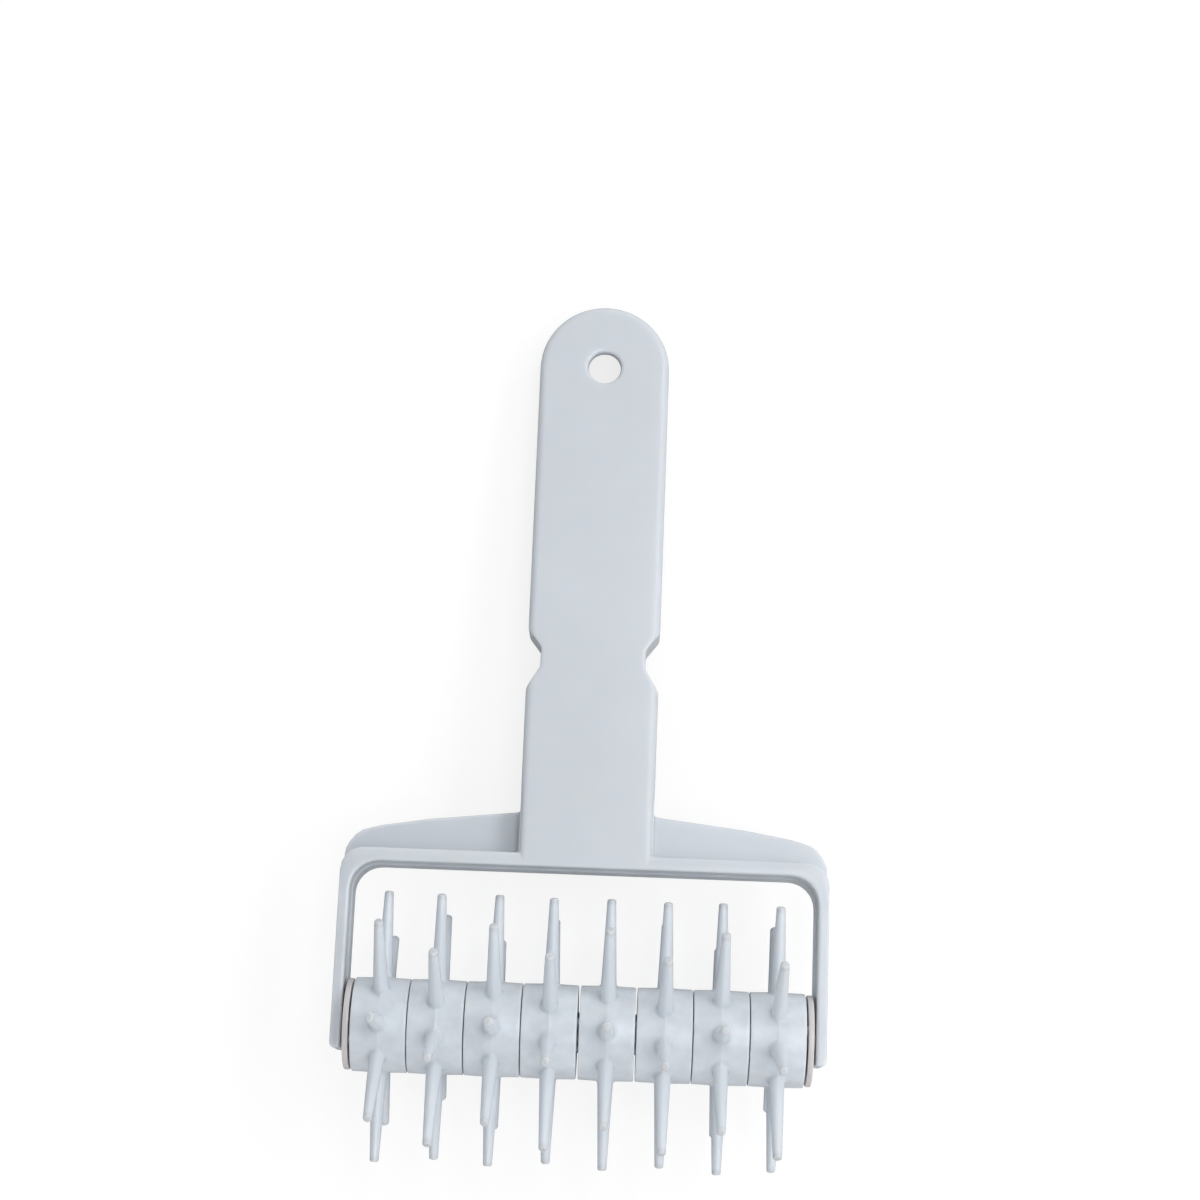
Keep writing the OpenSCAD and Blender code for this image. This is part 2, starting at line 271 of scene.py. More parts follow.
class Nodes:
    """Small helper to add and link the nodes of one tree."""

    def __init__(self, tree):
        self.tree = tree
        tree.nodes.clear()

    def add(self, kind, inputs=None, **settings):
        """A new node with its settings, and with each input linked or set."""
        node = self.tree.nodes.new(kind)
        for key, value in settings.items():
            setattr(node, key, value)
        for key, value in (inputs or {}).items():
            if isinstance(value, bpy.types.NodeSocket):
                self.tree.links.new(value, node.inputs[key])
            else:
                node.inputs[key].default_value = value
        return node

    def maths(self, operation, *values):
        """Result of a calculation on numbers."""
        node = self.add("ShaderNodeMath", dict(enumerate(values)), operation=operation)
        return node.outputs[0]

    def vector_maths(self, operation, output, *values):
        """Result of a calculation on vectors."""
        node = self.add("ShaderNodeVectorMath", dict(enumerate(values)), operation=operation)
        return node.outputs[output]

    def noise(self, vector, scale, detail=2.0, roughness=0.5):
        """Soft noise from 0 to 1."""
        node = self.add("ShaderNodeTexNoise", {"Vector": vector, "Scale": scale, "Detail": detail,
                                               "Roughness": roughness})
        return node.outputs["Fac"]

    def change(self, value, start, end, first=0.0, last=1.0, kind="LINEAR"):
        """Goes from first, where the value is at start, to last, where it is at end."""
        node = self.add("ShaderNodeMapRange",
                        {"Value": value, "From Min": start, "From Max": end, "To Min": first,
                         "To Max": last}, interpolation_type=kind)
        return node.outputs["Result"]

    def mix(self, share, a, b, blend="MIX"):
        """Colour a that becomes b as the share goes from 0 to 1."""
        node = self.add("ShaderNodeMix", {"Factor": share, "A": a, "B": b}, data_type="RGBA",
                        blend_type=blend)
        return node.outputs["Result"]

    def bump(self, height):
        """Normal of a surface raised by a height in metres."""
        node = self.add("ShaderNodeBump", {"Height": height, "Strength": 1.0, "Distance": 1.0})
        return node.outputs["Normal"]

    def by_ray(self, bounced, seen):
        """One shader for bounced light and another for what the camera sees."""
        camera_ray = self.add("ShaderNodeLightPath").outputs["Is Camera Ray"]
        node = self.add("ShaderNodeMixShader",
                        {"Fac": camera_ray, 1: bounced.outputs[0], 2: seen.outputs[0]})
        return node.outputs[0]


def new_material(name):
    """An empty material and the helper that adds its nodes."""
    material = bpy.data.materials.new(name)
    material.use_nodes = True
    return material, Nodes(material.node_tree)


# Shares of the plastic's red, green and blue in its clouds and its flow marks, and at the pins'
# tips, where the darker share is painted shade with a faint warm tint
CLOUD_DARK = (0.955, 0.955, 0.955)
CLOUD_LIGHT = (1.03, 1.03, 1.03)
FLOW_WARM = (1.02, 0.995, 0.95)
TIP_SHADE_AND_WARMTH = (0.84, 0.825, 0.81)
# Scales of the plastic's noises, per metre, and the heights of its relief
CLOUD_SCALE = 55.0
FLOW_SCALE = 160.0
SPOT_SCALE = 330.0
SINK_SCALE = 110.0
GRAIN_SCALE = 2200.0
SINK_HEIGHT = 0.05 * MM
GRAIN_HEIGHT = 0.0035 * MM
# Levels of a noise between which the flow marks and the hubs' spots grow, and the marks' most
FLOW_LEVELS = (0.55, 0.8)
SPOT_LEVELS = (0.35, 0.65)
FLOW_SHARE = 0.5
# Distances from the axle: the hubs' spots fade over the first two, and painted shade on the pins'
# tips grows over the others
SPOTS_WHOLE = 10.6 * MM
SPOTS_END = 12.0 * MM
TIP_SHADE_START = 26.6 * MM
TIP_SHADE_WHOLE = 28.3 * MM
# Depth to which light goes into the plastic, and its share for red, green and blue
LIGHT_DEPTH = 1.5 * MM
LIGHT_SPREAD = (1.0, 0.95, 0.9)
# The steel's rings: scales along the rod and across it, shares of red, green and blue where it is
# darkest, levels of the noise between which its roughness changes, that roughness, and height
RING_SCALE = (9000.0, 60.0, 60.0)
RING_DARK = (0.8, 0.8, 0.8)
RING_LEVELS = (0.3, 0.7)
RING_ROUGHNESS = (0.22, 0.4)
RING_HEIGHT = 0.004 * MM


def shaded(colour, shares=(1.0, 1.0, 1.0)):
    """A colour with its red, green and blue times their shares, and full alpha."""
    return [min(1.0, part * share) for part, share in zip(colour, shares)] + [1.0]


def axle_distance(nodes, coords):
    """Distance of each point from the axle's line."""
    axle = (0.0, AXLE_CENTRE.y, AXLE_CENTRE.z)
    across = nodes.vector_maths("SUBTRACT", "Vector", coords, axle)
    flat = nodes.vector_maths("MULTIPLY", "Vector", across, (0.0, 1.0, 1.0))
    return nodes.vector_maths("LENGTH", "Value", flat)


def clouded_colour(nodes, coords, colour):
    """The plastic's colour, in soft clouds and with warmer flow marks here and there."""
    clouds = nodes.noise(coords, CLOUD_SCALE, detail=3.0, roughness=0.55)
    flow = nodes.noise(coords, FLOW_SCALE)
    tone = nodes.mix(clouds, shaded(colour, CLOUD_DARK), shaded(colour, CLOUD_LIGHT))
    share = nodes.change(flow, *FLOW_LEVELS, last=FLOW_SHARE, kind="SMOOTHSTEP")
    return nodes.mix(share, tone, shaded(colour, FLOW_WARM))


def spotted_and_tip_shaded_colour(nodes, coords, colour, clouded, mottle):
    """The clouded colour with soft spots on the hub, and painted shade with a faint warm tint on the
    pins' tips.
    """
    radius = axle_distance(nodes, coords)
    half = nodes.change(radius, SPOTS_WHOLE, SPOTS_END, first=mottle / 2, last=0.0)
    spots = nodes.change(nodes.noise(coords, SPOT_SCALE), *SPOT_LEVELS,
                         first=nodes.maths("ADD", 1.0, half),
                         last=nodes.maths("SUBTRACT", 1.0, half))
    spotted = nodes.mix(1.0, clouded, spots, blend="MULTIPLY")
    # Painted shade: the pins' tips darken towards their ends, with a faint warm tint
    dull = nodes.change(radius, TIP_SHADE_START, TIP_SHADE_WHOLE, kind="SMOOTHSTEP")
    return nodes.mix(dull, spotted, shaded(colour, TIP_SHADE_AND_WARMTH))


def moulded_relief(nodes, coords):
    """Height of the plastic's soft sinks and its fine grain."""
    sinks = nodes.noise(coords, SINK_SCALE, detail=1.0, roughness=0.4)
    grain = nodes.noise(coords, GRAIN_SCALE)
    return nodes.maths("ADD", nodes.maths("MULTIPLY", sinks, SINK_HEIGHT),
                       nodes.maths("MULTIPLY", grain, GRAIN_HEIGHT))


def moulded_plastic(name, colour, roughness, mottle=None):
    """Satin moulded plastic with clouds, flow marks, soft sinks and a fine grain.

    Only the wheels' plastic has a mottle, and with it spots on the hubs and painted shade on the
    pins' tips.
    """
    material, nodes = new_material(name)
    coords = nodes.add("ShaderNodeTexCoord").outputs["Object"]
    tone = clouded_colour(nodes, coords, colour)
    if mottle is not None:
        tone = spotted_and_tip_shaded_colour(nodes, coords, colour, tone, mottle)
    shader = nodes.add("ShaderNodeBsdfPrincipled",
                       {"Base Color": tone, "Roughness": roughness, "IOR": 1.5,
                        "Subsurface Weight": 1.0, "Subsurface Scale": LIGHT_DEPTH,
                        "Subsurface Radius": LIGHT_SPREAD,
                        "Normal": nodes.bump(moulded_relief(nodes, coords))})
    nodes.add("ShaderNodeOutputMaterial", {"Surface": shader.outputs["BSDF"]})
    return material


def drawn_steel(name, colour):
    """Steel rod with fine rings around it from drawing and grinding."""
    material, nodes = new_material(name)
    coords = nodes.add("ShaderNodeTexCoord").outputs["Object"]
    along = nodes.add("ShaderNodeMapping", {"Vector": coords, "Scale": RING_SCALE})
    rings = nodes.noise(along.outputs["Vector"], 1.0, detail=3.0, roughness=0.6)
    tone = nodes.mix(rings, shaded(colour, RING_DARK), shaded(colour))
    rough = nodes.change(rings, *RING_LEVELS, *RING_ROUGHNESS)
    height = nodes.maths("MULTIPLY", rings, RING_HEIGHT)
    shader = nodes.add("ShaderNodeBsdfPrincipled",
                       {"Base Color": tone, "Metallic": 1.0, "Roughness": rough,
                        "Normal": nodes.bump(height)})
    nodes.add("ShaderNodeOutputMaterial", {"Surface": shader.outputs["BSDF"]})
    return material


# Handle and yoke


# The moulding's main sizes in the upright tool, in millimetres. The band is the crossbar with
# its two arms, and the web fills the corner between the band and the handle.
BAND_FRONT = 5.5
BAND_LOW = 34.2
BAND_TOP = 37.05
BAND_CORNER = 8.5
TIGHT_BAND_CORNER = 4.8
OPENING_CORNER = 6.0
ARM_THICKNESS = 2.3
GRIP_HALF = 14.35
GRIP_EDGE = 1.6
WEB_HALF = 1.3
WEB_FILLET = 0.8
WEB_RISE = 0.174
LEDGE_AT = 1.5
LEDGE_WIDTH = 0.3
# Two radii whose difference is the lift of the web's outer corners
WEB_CORNER = 7.0
TIGHT_WEB_CORNER = 4.4
# Layers at the band's front and rear: the first stays where it is as the web sinks, and the sinking
# ends under the second. What lies further from the band's middle than the last is front or rear.
FACE_LAYER = 0.5
FRONT_LAYER = 1.5
FACES_FROM = 3.0
# Layers in which a point counts as past the band's outline, as past the grip's side, and as still
# in the band, and the layer that moves with the opening's faces
OUTLINE_LAYER = 0.3
GRIP_LAYER = 0.7
BAND_LAYER = 0.4
INNER_LAYER = 0.5
# Heights up the tool between which a change of shape sets in, from none to whole
SINK_LOW = (BAND_LOW - 16.0, BAND_LOW - 10.0)
SINK_HIGH = (BAND_TOP + 15.0, BAND_TOP + 11.0)
RISE_SPAN = (BAND_TOP + 1.0, BAND_TOP + 5.0)
ARM_FALL_SPAN = (BAND_LOW - 4.0, BAND_LOW - 12.0)
CORNER_SPAN = (14.0, 24.0)
# Width outside the band over which its corner's lift becomes the web's
LIFT_BLEND = 2.5
SMOOTHING = 0.5
RELAX_PASSES = 2


def between(value, start, end):
    """Goes from 0 at start to 1 at end, and stays level beyond them."""
    return np.clip((value - start) / (end - start), 0.0, 1.0)


def outline_depth(x, y, half_width, top, corner):
    """Distance inside an outline with rounded upper corners that goes on downwards."""
    across = np.abs(x) - (half_width - corner)
    up = y - (top - corner)
    outside = np.hypot(np.maximum(across, 0.0), np.maximum(up, 0.0))
    return corner - outside - np.minimum(np.maximum(across, up), 0.0)


def sink_web(x, y, z, back, half_width):
    """Sets the web back between the band's front and rear, which stay in place."""
    kept = BAND_FRONT - FACE_LAYER
    fillet, front = WEB_HALF + WEB_FILLET, BAND_FRONT - FRONT_LAYER
    sunk = np.interp(z, (-kept, -WEB_HALF, fillet, front),
                     (-kept, -WEB_HALF - back, fillet - back, front))
    sunk = np.where(np.abs(z) > kept, z, sunk)
    outside = outline_depth(x, y, half_width, BAND_TOP, BAND_CORNER) < OUTLINE_LAYER
    beside = np.abs(x) > GRIP_HALF - GRIP_LAYER
    share = np.where(outside & beside, between(y, *SINK_LOW) * between(y, *SINK_HIGH), 0.0)
    # Seen along the tilted tool, the deeper web needs a little more height
    rise = np.where(np.abs(z) < kept, between(y, *RISE_SPAN), 0.0)
    return y + share * rise * back * WEB_RISE, z + share * (sunk - z)


def round_hole(x, y, z, radius):
    """Rounds the front rim of the hole in the handle's end."""
    centre = UPRIGHT_TO_LYING.inverted() @ HOLE_PLACE / MM
    beyond = np.hypot(x - centre.x, y - centre.y) - HOLE_RADIUS
    near = np.clip(radius - beyond, 0.0, radius)
    front = BAND_FRONT - radius + np.sqrt(radius ** 2 - near ** 2)
    at_rim = (beyond < radius) & (z > BAND_FRONT - radius)
    return np.where(at_rim, np.minimum(z, front), z)


def corner_drop(inward, radius):
    """Fall of a corner of some radius below its flat top, at a distance in from its side."""
    return radius - np.sqrt(radius ** 2 - np.maximum(radius - inward, 0.0) ** 2)


def corner_lift(x, y, half_width, depth, gap):
    """Lift up the tool that makes the band's and the web's outer corners tighter."""
    inward = np.clip(half_width - np.abs(x), 0.0, None)
    band = corner_drop(inward, BAND_CORNER) - corner_drop(inward, TIGHT_BAND_CORNER)
    web = corner_drop(inward, WEB_CORNER) - corner_drop(inward, TIGHT_WEB_CORNER)
    beyond = between(-depth, 0.0, LIFT_BLEND)
    past_opening = between(-gap, 0.0, ARM_THICKNESS)
    return (band + (web - band) * beyond) * past_opening * between(y, *CORNER_SPAN)


def round_fronts(x, y, z, depth, setting):
    """Lets the band's front and rear fall to their outer edges, and rounds the grip's edges."""
    along_arm = between(y, *ARM_FALL_SPAN)
    fall = (setting.fall + (setting.arm_fall - setting.fall) * along_arm) / MM
    share = np.clip(1.0 - depth / (setting.fall_width / MM), 0.0, 1.0)
    band = BAND_FRONT - fall * (1.0 - np.sqrt(1.0 - share ** 2))
    beside = np.clip(np.abs(x) - (GRIP_HALF - GRIP_EDGE), 0.0, GRIP_EDGE)
    grip = BAND_FRONT - GRIP_EDGE + np.sqrt(GRIP_EDGE ** 2 - beside ** 2)
    grip = np.where(np.abs(x) > GRIP_HALF, 0.0, grip)
    in_band = depth > -BAND_LAYER
    z = np.where(in_band & (z > FACES_FROM), np.minimum(z, np.maximum(band, grip)), z)
    at_rear = in_band & (z < -FACES_FROM) & (np.abs(x) > GRIP_HALF)
    return np.where(at_rear, np.maximum(z, -band), z)


def shift_inner_faces(x, y, z, gap, opening_half, setting):
    """Moves the opening's faces out, more towards the parting and more in the rear half."""
    layer = np.clip(1.0 - np.abs(gap) / INNER_LAYER, 0.0, 1.0)
    growth = setting.draft / MM * (1.0 - np.abs(z) / BAND_FRONT)
    ledge = between(z, LEDGE_AT + LEDGE_WIDTH / 2, LEDGE_AT - LEDGE_WIDTH / 2)
    growth = growth + setting.ledge / MM * ledge
    # A short step along x and along y finds the way out of the opening
    step = 0.05
    way_x = outline_depth(x + step, y, opening_half, BAND_LOW, OPENING_CORNER) - gap
    way_y = outline_depth(x, y + step, opening_half, BAND_LOW, OPENING_CORNER) - gap
    length = np.maximum(np.hypot(way_x, way_y), TINY)
    return x + layer * growth * way_x / length, y + layer * growth * way_y / length


def shape_moulding(spots, setting, half_width):
    """Gives the softened moulding its web, hole rim, fronts, inner faces and corners."""
    x, y, z = spots.T
    opening_half = half_width - ARM_THICKNESS
    y, z = sink_web(x, y, z, setting.web_back / MM, half_width)
    z = round_hole(x, y, z, setting.hole_edge / MM)
    depth = outline_depth(x, y, half_width, BAND_TOP, BAND_CORNER)
    z = round_fronts(x, y, z, depth, setting)
    gap = outline_depth(x, y, opening_half, BAND_LOW, OPENING_CORNER)
    lift = corner_lift(x, y, half_width, depth, gap)
    x, y = shift_inner_faces(x, y, z, gap, opening_half, setting)
    return np.stack((x, y + lift, z), axis=1)


def smooth(obj, name, passes):
    """Has an object smoothed when it is settled."""
    modifier = obj.modifiers.new(name, "SMOOTH")
    modifier.factor = SMOOTHING
    modifier.iterations = passes


def softened_moulding(setting):
    """The frame's node, upright in millimetres, rebuilt from small cells and softened."""
    bm = cad_copy("frame")
    bmesh.ops.transform(bm, matrix=UPRIGHT_TO_LYING.inverted(), verts=bm.verts)
    rough = obj_from_bmesh("moulding_rough", bm, 1 / MM)
    coarse = 1.0
    rebuild = rough.modifiers.new("rebuild", "REMESH")
    rebuild.mode = "VOXEL"
    rebuild.voxel_size = setting.cell / MM * coarse
    rebuild.use_smooth_shade = True
    smooth(rough, "soften", max(1, round(setting.soften / coarse ** 2)))
    return settle(rough, "moulding_soft")


def thin_moulding(soft, triangles):
    """Has the moulding thinned, when it is settled, if its four-sided faces are too many."""
    count = len(soft.data.polygons) * 2
    if count > triangles:
        thin = soft.modifiers.new("thin", "DECIMATE")
        thin.ratio = triangles / count
        thin.use_collapse_triangulate = True


class DOCKER_OT_moulding(bpy.types.Operator):
    """Makes the handle and yoke as one soft-edged moulding"""

    bl_idname = "docker.moulding"
    bl_label = "Handle and yoke"

    def execute(self, context):
        setting = context.scene.docker_moulding
        finish = context.scene.docker_finish
        low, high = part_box("frame")
        soft = softened_moulding(setting)
        spots = np.empty(len(soft.data.vertices) * 3)
        soft.data.vertices.foreach_get("co", spots)
        spots = shape_moulding(spots.reshape(-1, 3), setting, (high.x - low.x) / 2 / MM)
        soft.data.vertices.foreach_set("co", spots.ravel())
        soft.data.update()
        smooth(soft, "relax", RELAX_PASSES)
        thin_moulding(soft, setting.triangles)
        soft = settle(soft, "moulding")
        soft.data.transform(UPRIGHT_TO_LYING @ Matrix.Scale(MM, 4))
        soft.data.update()
        for face in soft.data.polygons:
            face.use_smooth = True
        plastic = moulded_plastic("frame_plastic", finish.body_colour, finish.roughness)
        finish_piece(soft, "handle_and_yoke", plastic, "frame_plastic", "frame", "frame")
        return {"FINISHED"}


# Wheels


# Angles from +Z towards +Y, and sizes in millimetres. The pips stand on a ring round the axle.
FIRST_PIN = math.radians(7.8)
PIP_ANGLE = math.radians(21.5)
PIP_RING = 7.25
PIP_RADIUS = 1.0
PIP_HEIGHT = 1.1
PIP_ROOT = 1.0
PIP_EDGE = 0.2
SOCKET_RADIUS = 1.2
SOCKET_DEPTH = 1.1
CUTTER_SPARE = 1.0
BORE_LIP = 0.15
WELD = 0.002
# Steps of the wheel's mesh: rings on the hub and how much closer they lie near the pin, rings of
# the blend, the pin and its tip, the share of the tip inside its last ring, and steps of the hub's
# edge and face, of a pip's edge and round a pip
HUB_STEPS = 9
HUB_CROWDING = 1.15
BLEND_STEPS = 7
PIN_STEPS = 16
TIP_STEPS = 5
TIP_RING_SHARE = 0.45
EDGE_STEPS = 7
FACE_STEPS = 5
PIP_EDGE_STEPS = 4
PIP_FACETS = 32


class Sector:
    """One pin with its share of the hub, in millimetres, with the pin along +Z."""

    # Strips round the hub and along the axle
    across = 16
    along = 20

    def __init__(self, shape, half_width):
        self.bm = bmesh.new()
        self.half_width = half_width
        self.rim = shape.rim_radius / MM
        self.draft = shape.draft / MM
        self.flare = shape.flare
        self.edge = shape.edge / MM
        self.bore = shape.bore_radius / MM
        self.root = shape.root_radius / MM
        self.tip = shape.tip_radius / MM
        self.tip_edge = shape.tip_edge / MM
        self.blend = shape.blend / MM
        self.reach = shape.reach / MM
        self.crease = shape.crease
        self.shoulder = self.reach - self.tip_edge
        self.half_arc = math.pi * self.rim / shape.pins
        self.slope = math.atan(self.draft * self.flare / half_width)
        self.edge_x = half_width - self.edge
        self.edge_r = self.hub_radius(self.edge_x) - self.edge / math.cos(self.slope)
        self.side_x = self.edge_x + self.edge * math.sin(self.slope)
        spokes = 2 * (self.across + self.along)
        self.angles = [2 * math.pi * i / spokes for i in range(spokes)]

    def hub_radius(self, x):
        """Radius of the drafted hub at a place along the axle."""
        return self.rim - self.draft * (abs(x) / self.half_width) ** self.flare

    def on_hub(self, t, x, lift=0.0):
        """Point at a way t round the hub and x along the axle, lifted along the pin."""
        radius = self.hub_radius(x)
        return Vector((x, radius * math.sin(t / self.rim), radius * math.cos(t / self.rim) + lift))

    def bulge(self, angle):
        """Factor of the pin's width at an angle, largest where the mould's halves meet."""
        return 1 + self.crease * (1 - abs(math.sin(angle)))

    def on_pin(self, radius, angle, z):
        """Point at an angle round the pin."""
        return radius * math.sin(angle), radius * math.cos(angle) * self.bulge(angle), z

    def ring(self, points):
        """New corners of the mesh at some points."""
        return [self.bm.verts.new(point) for point in points]

    def border(self):
        """Rectangle of hub that belongs to the pin, as points (t, x)."""
        across, along, arc, side = self.across, self.along, self.half_arc, self.side_x
        half = along // 2
        points = [(arc, side * i / half) for i in range(half)]
        points += [(arc * (1 - 2 * i / across), side) for i in range(across)]
        points += [(-arc, side * (1 - 2 * i / along)) for i in range(along)]
        points += [(-arc * (1 - 2 * i / across), -side) for i in range(across)]
        points += [(arc, -side * (1 - i / half)) for i in range(half)]
        return points

    def hub_rings(self):
        """Rings on the hub, from the border in to the foot of the blend."""
        foot = self.root + self.blend
        rings = []
        for k in range(HUB_STEPS, 0, -1):
            share = (k / HUB_STEPS) ** HUB_CROWDING
            points = []
            for angle, (t, x) in zip(self.angles, self.border()):
                near_t = foot * math.cos(angle) * self.bulge(angle)
                near_x = foot * math.sin(angle)
                points.append(self.on_hub(near_t + (t - near_t) * share,
                                          near_x + (x - near_x) * share))
            rings.append(self.ring(points))
        return rings

    def blend_rings(self):
        """Rings that rise from the hub into the pin."""
        rings = []
        for k in range(BLEND_STEPS + 1):
            turn = math.pi / 2 * k / BLEND_STEPS
            radius = self.root + self.blend * (1 - math.sin(turn))
            lift = self.blend * (1 - math.cos(turn))
            rings.append(self.ring(self.on_hub(radius * math.cos(a) * self.bulge(a),
                                               radius * math.sin(a), lift) for a in self.angles))
        return rings

    def pin_rings(self, start):
        """Rings of the tapered pin, from the blend's last ring to the shoulder."""
        rings = []
        tops = [corner.co.z for corner in start]
        for k in range(1, PIN_STEPS + 1):
            points = []
            for angle, top in zip(self.angles, tops):
                z = top + (self.shoulder - top) * (k / PIN_STEPS)
                taper = max(0.0, z - self.rim) / (self.shoulder - self.rim)
                points.append(self.on_pin(self.root + (self.tip - self.root) * taper, angle, z))
            rings.append(self.ring(points))
        return rings

    def tip_rings(self):
        """Rings of the rounded edge and of the blunt tip."""
        rings = []
        for k in range(1, TIP_STEPS + 1):
            turn = math.pi / 2 * k / TIP_STEPS
            radius = self.tip - self.tip_edge + self.tip_edge * math.cos(turn)
            z = self.shoulder + self.tip_edge * math.sin(turn)
            rings.append(self.ring(self.on_pin(radius, a, z) for a in self.angles))
        rings.append(self.ring((v.co.x * TIP_RING_SHARE, v.co.y * TIP_RING_SHARE, self.reach)
                               for v in rings[-1]))
        return rings

    def skin_pin(self, rings):
        """Faces between the rings and over the tip, creased where the mould's halves meet."""
        peak = self.bm.verts.new((0.0, 0.0, self.reach))
        spokes = len(self.angles)
        for lower, upper in zip(rings, rings[1:]):
            for i in range(spokes):
                n = (i + 1) % spokes
                self.bm.faces.new((lower[i], lower[n], upper[n], upper[i]))
        for i in range(spokes):
            self.bm.faces.new((rings[-1][i], rings[-1][(i + 1) % spokes], peak))
        for lower, upper in zip(rings, rings[1:]):
            for i in (0, spokes // 2):
                self.bm.edges.get((lower[i], upper[i])).smooth = False

    def side_profile(self):
        """Soft edge, face and bore from the +X side round to the -X side, as (x, r)."""
        turns = [self.slope + (math.pi / 2 - self.slope) * k / EDGE_STEPS
                 for k in range(1, EDGE_STEPS + 1)]
        profile = [(self.edge_x + self.edge * math.sin(a), self.edge_r + self.edge * math.cos(a))
                   for a in turns]
        lip_r = self.bore + BORE_LIP
        profile += [(self.half_width, self.edge_r + (lip_r - self.edge_r) * k / FACE_STEPS)
                    for k in range(1, FACE_STEPS + 1)]
        profile += [(self.half_width - BORE_LIP * share, self.bore + BORE_LIP * (1 - share))
                    for share in (math.sin(math.pi / 4), 1.0)]
        profile += [(self.half_width / 3, self.bore)]
        return profile + [(-x, r) for x, r in reversed(profile)]

    def skin_side(self, border):
        """Faces of the hub's sides and bore, from one side of the border round to the other."""
        start = self.along // 2
        end = start + self.across + self.along
        turns = [self.half_arc * (1 - 2 * i / self.across) / self.rim
                 for i in range(self.across + 1)]
        rows = [border[start:start + self.across + 1]]
        for x, r in self.side_profile():
            rows.append(self.ring((x, r * math.sin(a), r * math.cos(a)) for a in turns))
        rows.append(list(reversed(border[end:end + self.across + 1])))
        for lower, upper in zip(rows, rows[1:]):
            for i in range(self.across):
                self.bm.faces.new((lower[i], upper[i], upper[i + 1], lower[i + 1]))

    def build(self):
        """The whole sector as a bmesh."""
        rings = self.hub_rings() + self.blend_rings()
        rings += self.pin_rings(rings[-1])
        rings += self.tip_rings()
        self.skin_pin(rings)
        self.skin_side(rings[0])
        return self.bm


def radial_tree():
    """Geometry Nodes tree that repeats a sector round the X axis and gives it its material."""
    tree = bpy.data.node_groups.new("Pins round the hub", "GeometryNodeTree")
    face = tree.interface
    face.new_socket("Sector", in_out="INPUT", socket_type="NodeSocketGeometry")
    face.new_socket("Pins", in_out="INPUT", socket_type="NodeSocketInt")
    first = face.new_socket("First pin", in_out="INPUT", socket_type="NodeSocketFloat")
    first.subtype = "ANGLE"
    face.new_socket("Plastic", in_out="INPUT", socket_type="NodeSocketMaterial")
    face.new_socket("Wheel", in_out="OUTPUT", socket_type="NodeSocketGeometry")
    nodes = Nodes(tree)
    given = nodes.add("NodeGroupInput").outputs
    points = nodes.add("GeometryNodePoints", {"Count": given["Pins"]})
    step = nodes.maths("DIVIDE", -2 * math.pi, given["Pins"])
    turn = nodes.maths("MULTIPLY", nodes.add("GeometryNodeInputIndex").outputs[0], step)
    shift = nodes.maths("SUBTRACT", turn, given["First pin"])
    aim = nodes.add("ShaderNodeCombineXYZ", {"X": shift})
    spread = nodes.add("GeometryNodeInstanceOnPoints",
                       {"Points": points.outputs[0], "Instance": given["Sector"],
                        "Rotation": aim.outputs[0]})
    real = nodes.add("GeometryNodeRealizeInstances", {0: spread.outputs[0]})
    paint = nodes.add("GeometryNodeSetMaterial",
                      {"Geometry": real.outputs[0], "Material": given["Plastic"]})
    nodes.add("NodeGroupOutput", {0: paint.outputs[0]})
    return tree


def set_inputs(modifier, tree, values):
    """Sets a modifier's inputs by their sockets' identifiers."""
    for item in tree.interface.items_tree:
        if item.item_type == "SOCKET" and item.in_out == "INPUT" and item.name in values:
            modifier[item.identifier] = values[item.name]


def pip_bmesh(radius, inner, outer, edge=0.0):
    """Short cylinder along +X from inner to outer, with a rounded edge if one is given."""
    profile = [(inner, radius)]
    if edge:
        turns = [math.pi / 2 * k / PIP_EDGE_STEPS for k in range(PIP_EDGE_STEPS + 1)]
        profile += [(outer - edge + edge * math.sin(a), radius - edge + edge * math.cos(a))
                    for a in turns]
    else:
        profile += [(outer, radius)]
    bm = bmesh.new()
    angles = [2 * math.pi * i / PIP_FACETS for i in range(PIP_FACETS)]
    rings = [[bm.verts.new((x, r * math.cos(a), r * math.sin(a))) for a in angles]
             for x, r in profile]
    for lower, upper in zip(rings, rings[1:]):
        for i in range(PIP_FACETS):
            n = (i + 1) % PIP_FACETS
            bm.faces.new((lower[i], lower[n], upper[n], upper[i]))
    bm.faces.new(rings[0])
    bm.faces.new(rings[-1])
    bmesh.ops.recalc_face_normals(bm, faces=bm.faces)
    return bm


def join_into(target, source, matrix):
    """Adds a transformed copy of one bmesh to another."""
    spots = {v: target.verts.new(matrix @ v.co) for v in source.verts}
    flip = matrix.determinant() < 0
    for face in source.faces:
        corners = [spots[v] for v in face.verts]
        target.faces.new(reversed(corners) if flip else corners)


def face_places(angle, face, x):
    """Two opposite places on the ring of pips, on the face that looks along -X or +X."""
    for opposite in (0.0, math.pi):
        a = angle + opposite
        yield (Matrix.Translation((face * x, PIP_RING * math.sin(a), PIP_RING * math.cos(a)))
               @ Matrix.Diagonal((face, 1, 1, 1)))


def at_places(name, shape, places):
    """An object with a copy of a bmesh at each place, which frees the bmesh."""
    joined = bmesh.new()
    for place in places:
        join_into(joined, shape, place)
    shape.free()
    return obj_from_bmesh(name, joined)


def plain_wheel(shape, half_width, plastic):
    """A wheel without pips and sockets, in millimetres round the X axis."""
    sector = obj_from_bmesh("wheel_sector", Sector(shape, half_width).build())
    tree = radial_tree()
    repeat = sector.modifiers.new("pins", "NODES")
    repeat.node_group = tree
    set_inputs(repeat, tree, {"Pins": shape.pins, "First pin": FIRST_PIN, "Plastic": plastic})
    wheel = settle(sector, "wheel_plain")
    bm = bmesh.new()
    bm.from_mesh(wheel.data)
    bmesh.ops.remove_doubles(bm, verts=bm.verts, dist=WELD)
    bmesh.ops.recalc_face_normals(bm, faces=bm.faces)
    bm.to_mesh(wheel.data)
    bm.free()
    return wheel


